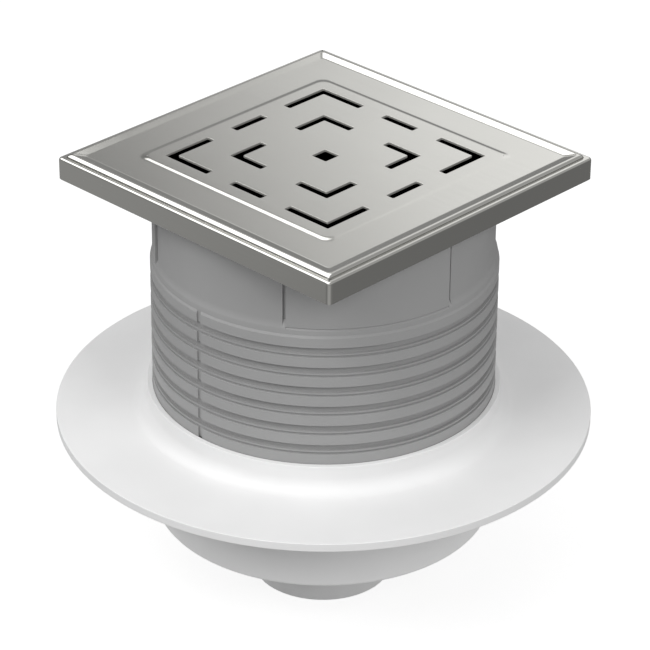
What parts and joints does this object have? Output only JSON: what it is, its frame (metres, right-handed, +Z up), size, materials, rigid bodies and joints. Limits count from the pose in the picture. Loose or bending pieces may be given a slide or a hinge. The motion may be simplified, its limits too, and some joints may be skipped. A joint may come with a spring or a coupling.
{
  "type": "gully trap",
  "caption": "Floor gully trap: square slotted steel cover on a ringed riser, flanged body with a bell water seal and a vertical socket outlet for a 50 mm pipe.",
  "frame": {"origin": "middle of the outlet's lower end, the lowest point of the part", "axes": "+Z up along the outlet, the riser and the middle of the cover; the cover's sides lie along X and Y, and the mark down the riser's bands faces -Y"},
  "size_m": [0.22, 0.22, 0.192],
  "materials": {
    "body_plastic": "smooth satin white moulding",
    "riser_plastic": "satin mid grey moulding",
    "seal_rubber": "matt black rubber",
    "cover_steel": "fine brushed stainless steel",
    "bell_plastic": "satin grey moulding"
  },
  "bodies": {
    "trap_body": {"trap_body": "body_plastic", "bell": "bell_plastic"},
    "riser_seal": {"riser_seal": "seal_rubber"},
    "riser": {"riser": "riser_plastic", "cover": "cover_steel"}
  },
  "joints": [
    {"name": "height_setting", "type": "slide", "parent": "trap_body", "child": "riser_seal", "axis": [0, 0, 1], "range_m": [0, 0.006]},
    {"name": "riser_turn", "type": "hinge", "parent": "riser_seal", "child": "riser", "pos_m": [0, 0, 0.085], "axis": [0, 0, 1], "continuous": true}
  ]
}
